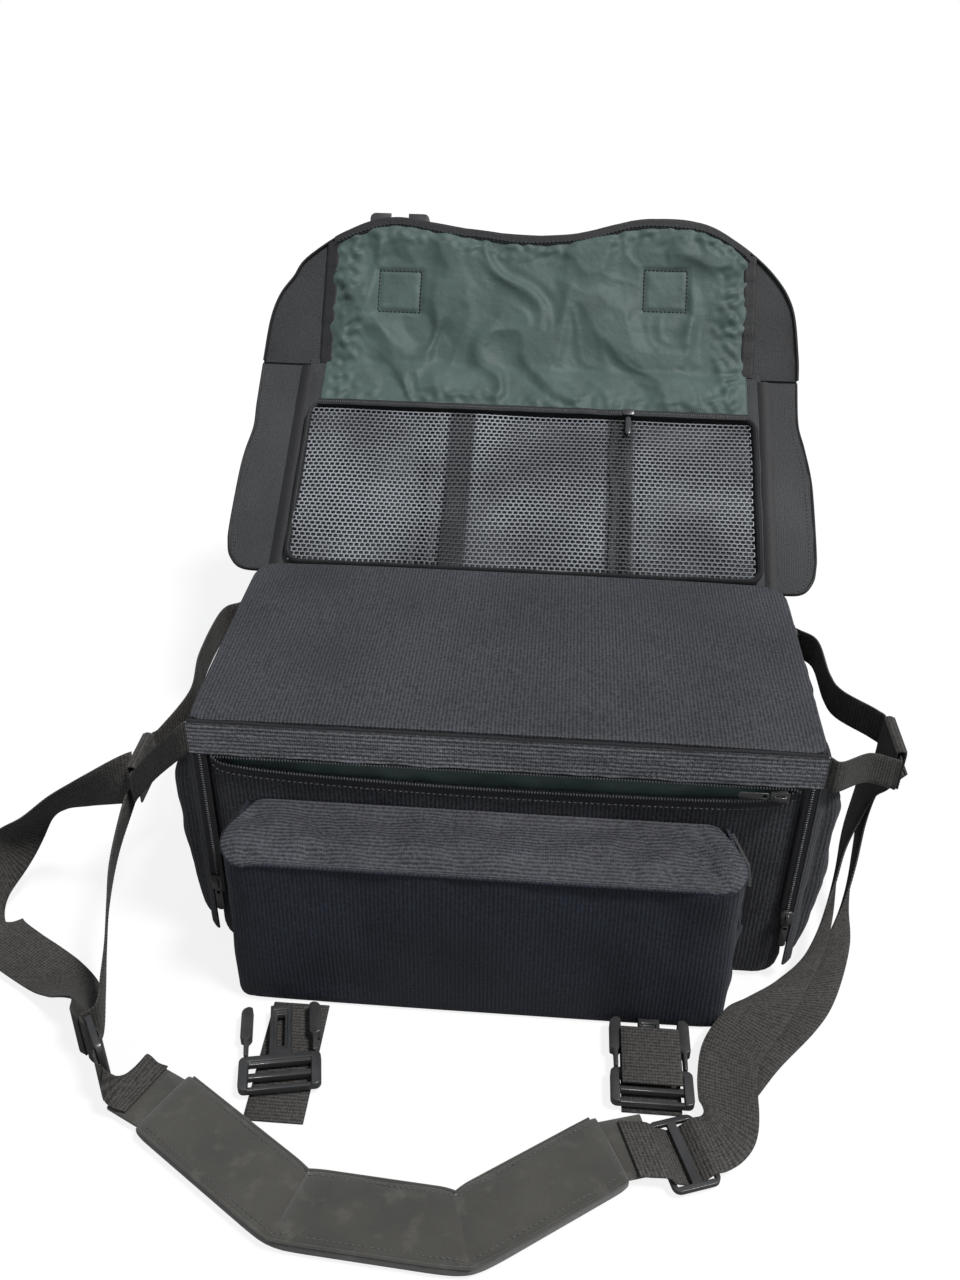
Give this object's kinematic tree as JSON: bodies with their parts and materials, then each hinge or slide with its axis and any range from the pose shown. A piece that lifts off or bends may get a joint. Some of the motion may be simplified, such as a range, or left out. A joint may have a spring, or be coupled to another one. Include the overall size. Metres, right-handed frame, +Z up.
{
  "type": "camera bag",
  "caption": "Padded shoulder bag for camera gear: foldable flap with mesh pocket, zipped padded lid, inner dividers, front and side pockets, buckled straps and padded shoulder strap",
  "frame": {"origin": "centre of the bag's base, on the floor", "axes": "X from the bag's left side to its right as seen from the front, Y from the front to the back, Z up"},
  "size_m": [0.6458, 0.7656, 0.3853],
  "materials": {
    "nylon": "dark blue-grey woven nylon",
    "nylon_dark": "near-black woven nylon",
    "webbing": "worn grey-brown ribbed webbing",
    "lining": "muted green thin lining cloth",
    "buckle_plastic": "glossy black moulded plastic",
    "pad_suede": "brown-grey suede-like cloth, worn pale on its edges",
    "foam": "closed-cell foam",
    "board": "stiff plastic board",
    "mesh": "grey knitted mesh",
    "zip": "black zip coil and tape"
  },
  "bodies": {
    "bag": {"outer_shell": "nylon", "foam_liner": "foam", "lining_tray": "lining", "base_board": "board", "top_band": "webbing", "side_loop_left": "webbing", "side_loop_right": "webbing", "strap_wrap_left": "webbing", "strap_wrap_right": "webbing", "lid_zip_lower": "zip", "slash_pocket_bag": "lining", "slash_zip": "zip", "front_pocket": "nylon", "front_pocket_zips": "zip", "side_pocket_left": "nylon", "side_pocket_right": "nylon", "side_zips": "zip"},
    "divider_left": {"divider_left": "foam"},
    "divider_right": {"divider_right": "foam"},
    "lid": {"lid_cover": "nylon", "lid_foam": "foam", "lid_lining": "lining", "lid_zip_upper": "zip"},
    "lid_slider_left": {"lid_slider_left": "zip"},
    "lid_slider_right": {"lid_slider_right": "zip"},
    "slash_slider": {"slash_slider": "zip"},
    "pocket_top": {"front_pocket_top": "nylon"},
    "side_slider_left": {"side_slider_left": "zip"},
    "side_slider_right": {"side_slider_right": "zip"},
    "side_pull": {"side_pull_right": "zip"},
    "flap_strip": {"flap_strip": "nylon_dark"},
    "flap_panel": {"flap_panel": "nylon_dark", "flap_foam": "foam", "mesh_frame": "mesh", "mesh_net": "mesh", "mesh_zip": "zip"},
    "mesh_slider": {"mesh_slider": "zip"},
    "mesh_pull": {"mesh_pull": "zip"},
    "wing_left": {"wing_left": "nylon_dark"},
    "wing_right": {"wing_right": "nylon_dark"},
    "apron": {"flap_apron": "nylon_dark", "apron_lining": "lining", "flap_strap_left": "webbing", "flap_strap_right": "webbing", "female_buckle_left": "buckle_plastic", "female_buckle_right": "buckle_plastic"},
    "buckle_strap_left": {"lower_strap_left": "webbing"},
    "buckle_strap_right": {"lower_strap_right": "webbing"},
    "buckle_left": {"male_buckle_left": "buckle_plastic"},
    "buckle_right": {"male_buckle_right": "buckle_plastic", "strap_tail_right": "webbing"},
    "prong_left_outer": {"prong_left_outer": "buckle_plastic"},
    "prong_left_inner": {"prong_left_inner": "buckle_plastic"},
    "prong_right_outer": {"prong_right_outer": "buckle_plastic"},
    "prong_right_inner": {"prong_right_inner": "buckle_plastic"},
    "shoulder_strap": {"shoulder_webbing_left": "webbing", "shoulder_webbing_right": "webbing", "adjuster_left": "buckle_plastic", "adjuster_right": "buckle_plastic", "shoulder_pad": "pad_suede"}
  },
  "joints": [
    {"name": "lid_hinge", "type": "hinge", "parent": "bag", "child": "lid", "pos_m": [0, -0.1, 0.2005], "axis": [-1, 0, 0], "range_deg": [-105, 0]},
    {"name": "lid_slider_left_slide", "type": "slide", "parent": "bag", "child": "lid_slider_left", "axis": [0, -1, 0], "range_m": [0, 0.14]},
    {"name": "lid_slider_right_slide", "type": "slide", "parent": "bag", "child": "lid_slider_right", "axis": [0, -1, 0], "range_m": [0, 0.14]},
    {"name": "divider_left_slide", "type": "slide", "parent": "bag", "child": "divider_left", "axis": [1, 0, 0], "range_m": [-0.025, 0.025]},
    {"name": "divider_right_slide", "type": "slide", "parent": "bag", "child": "divider_right", "axis": [1, 0, 0], "range_m": [-0.025, 0.025]},
    {"name": "slash_slider_slide", "type": "slide", "parent": "bag", "child": "slash_slider", "axis": [-1, 0, 0], "range_m": [0, 0.33]},
    {"name": "pocket_top_hinge", "type": "hinge", "parent": "bag", "child": "pocket_top", "pos_m": [0, -0.101, 0.142], "axis": [1, 0, 0], "range_deg": [-70, 0]},
    {"name": "side_slider_left_slide", "type": "slide", "parent": "bag", "child": "side_slider_left", "axis": [0, 0, 1], "range_m": [0, 0.1]},
    {"name": "side_slider_right_slide", "type": "slide", "parent": "bag", "child": "side_slider_right", "axis": [0, 0, 1], "range_m": [0, 0.1]},
    {"name": "side_pull_hinge", "type": "hinge", "parent": "side_slider_right", "child": "side_pull", "pos_m": [0.193, -0.1038, 0.0566], "axis": [1, 0, 0], "range_deg": [-50, 0]},
    {"name": "flap_strip_hinge", "type": "hinge", "parent": "bag", "child": "flap_strip", "pos_m": [0, 0.1045, 0.171], "axis": [1, 0, 0], "range_deg": [-30, 102.5]},
    {"name": "flap_panel_hinge", "type": "hinge", "parent": "flap_strip", "child": "flap_panel", "pos_m": [0, 0.15136, 0.16061], "axis": [1, 0, 0], "range_deg": [-20, 46.3]},
    {"name": "mesh_slider_slide", "type": "slide", "parent": "flap_panel", "child": "mesh_slider", "axis": [1, 0, 0], "range_m": [-0.26, 0.09]},
    {"name": "mesh_pull_hinge", "type": "hinge", "parent": "mesh_slider", "child": "mesh_pull", "pos_m": [0.084, 0.28448, 0.2545], "axis": [1, 0, 0], "range_deg": [-100, 0]},
    {"name": "wing_left_fold", "type": "hinge", "parent": "flap_panel", "child": "wing_left", "pos_m": [-0.202, 0.15136, 0.16061], "axis": [0, 0.8554, 0.518], "range_deg": [0, 20]},
    {"name": "wing_right_fold", "type": "hinge", "parent": "flap_panel", "child": "wing_right", "pos_m": [0.202, 0.15136, 0.16061], "axis": [0, -0.8554, -0.518], "range_deg": [0, 20]},
    {"name": "apron_hinge", "type": "hinge", "parent": "flap_panel", "child": "apron", "pos_m": [0, 0.33441, 0.27147], "axis": [1, 0, 0], "range_deg": [-20, 42.5]},
    {"name": "buckle_strap_left_hinge", "type": "hinge", "parent": "bag", "child": "buckle_strap_left", "pos_m": [-0.129, -0.151, 0.002], "axis": [1, 0, 0], "range_deg": [-60, 0]},
    {"name": "buckle_strap_right_hinge", "type": "hinge", "parent": "bag", "child": "buckle_strap_right", "pos_m": [0.104, -0.151, 0.002], "axis": [1, 0, 0], "range_deg": [-60, 0]},
    {"name": "buckle_left_flip", "type": "hinge", "parent": "buckle_strap_left", "child": "buckle_left", "pos_m": [-0.129, -0.219, 0.0076], "axis": [0.9816, 0.1908, 0], "range_deg": [0, 180]},
    {"name": "buckle_right_flip", "type": "hinge", "parent": "buckle_strap_right", "child": "buckle_right", "pos_m": [0.104, -0.211, 0.0076], "axis": [1, 0, 0], "range_deg": [0, 180]},
    {"name": "prong_left_outer_spring", "type": "hinge", "parent": "buckle_left", "child": "prong_left_outer", "pos_m": [-0.15487, -0.20121, 0.0076], "axis": [0, 0, -1], "range_deg": [0, 8], "stiffness_Nm_per_rad": 0.05},
    {"name": "prong_left_inner_spring", "type": "hinge", "parent": "buckle_left", "child": "prong_left_inner", "pos_m": [-0.11168, -0.19281, 0.0076], "axis": [0, 0, -1], "range_deg": [-8, 0], "stiffness_Nm_per_rad": 0.05},
    {"name": "prong_right_outer_spring", "type": "hinge", "parent": "buckle_right", "child": "prong_right_outer", "pos_m": [0.126, -0.1886, 0.0076], "axis": [0, 0, -1], "range_deg": [-8, 0], "stiffness_Nm_per_rad": 0.05},
    {"name": "prong_right_inner_spring", "type": "hinge", "parent": "buckle_right", "child": "prong_right_inner", "pos_m": [0.082, -0.1886, 0.0076], "axis": [0, 0, -1], "range_deg": [0, 8], "stiffness_Nm_per_rad": 0.05},
    {"name": "shoulder_strap_swing", "type": "hinge", "parent": "bag", "child": "shoulder_strap", "pos_m": [0, -0.052, 0.146], "axis": [1, 0, 0], "range_deg": [-150, 0]}
  ],
  "couplings": [
    {"joint": "buckle_left_flip", "follows": "buckle_strap_left_hinge", "ratio": -3},
    {"joint": "buckle_right_flip", "follows": "buckle_strap_right_hinge", "ratio": -3},
    {"joint": "prong_left_inner_spring", "follows": "prong_left_outer_spring", "ratio": -1},
    {"joint": "prong_right_inner_spring", "follows": "prong_right_outer_spring", "ratio": -1}
  ]
}
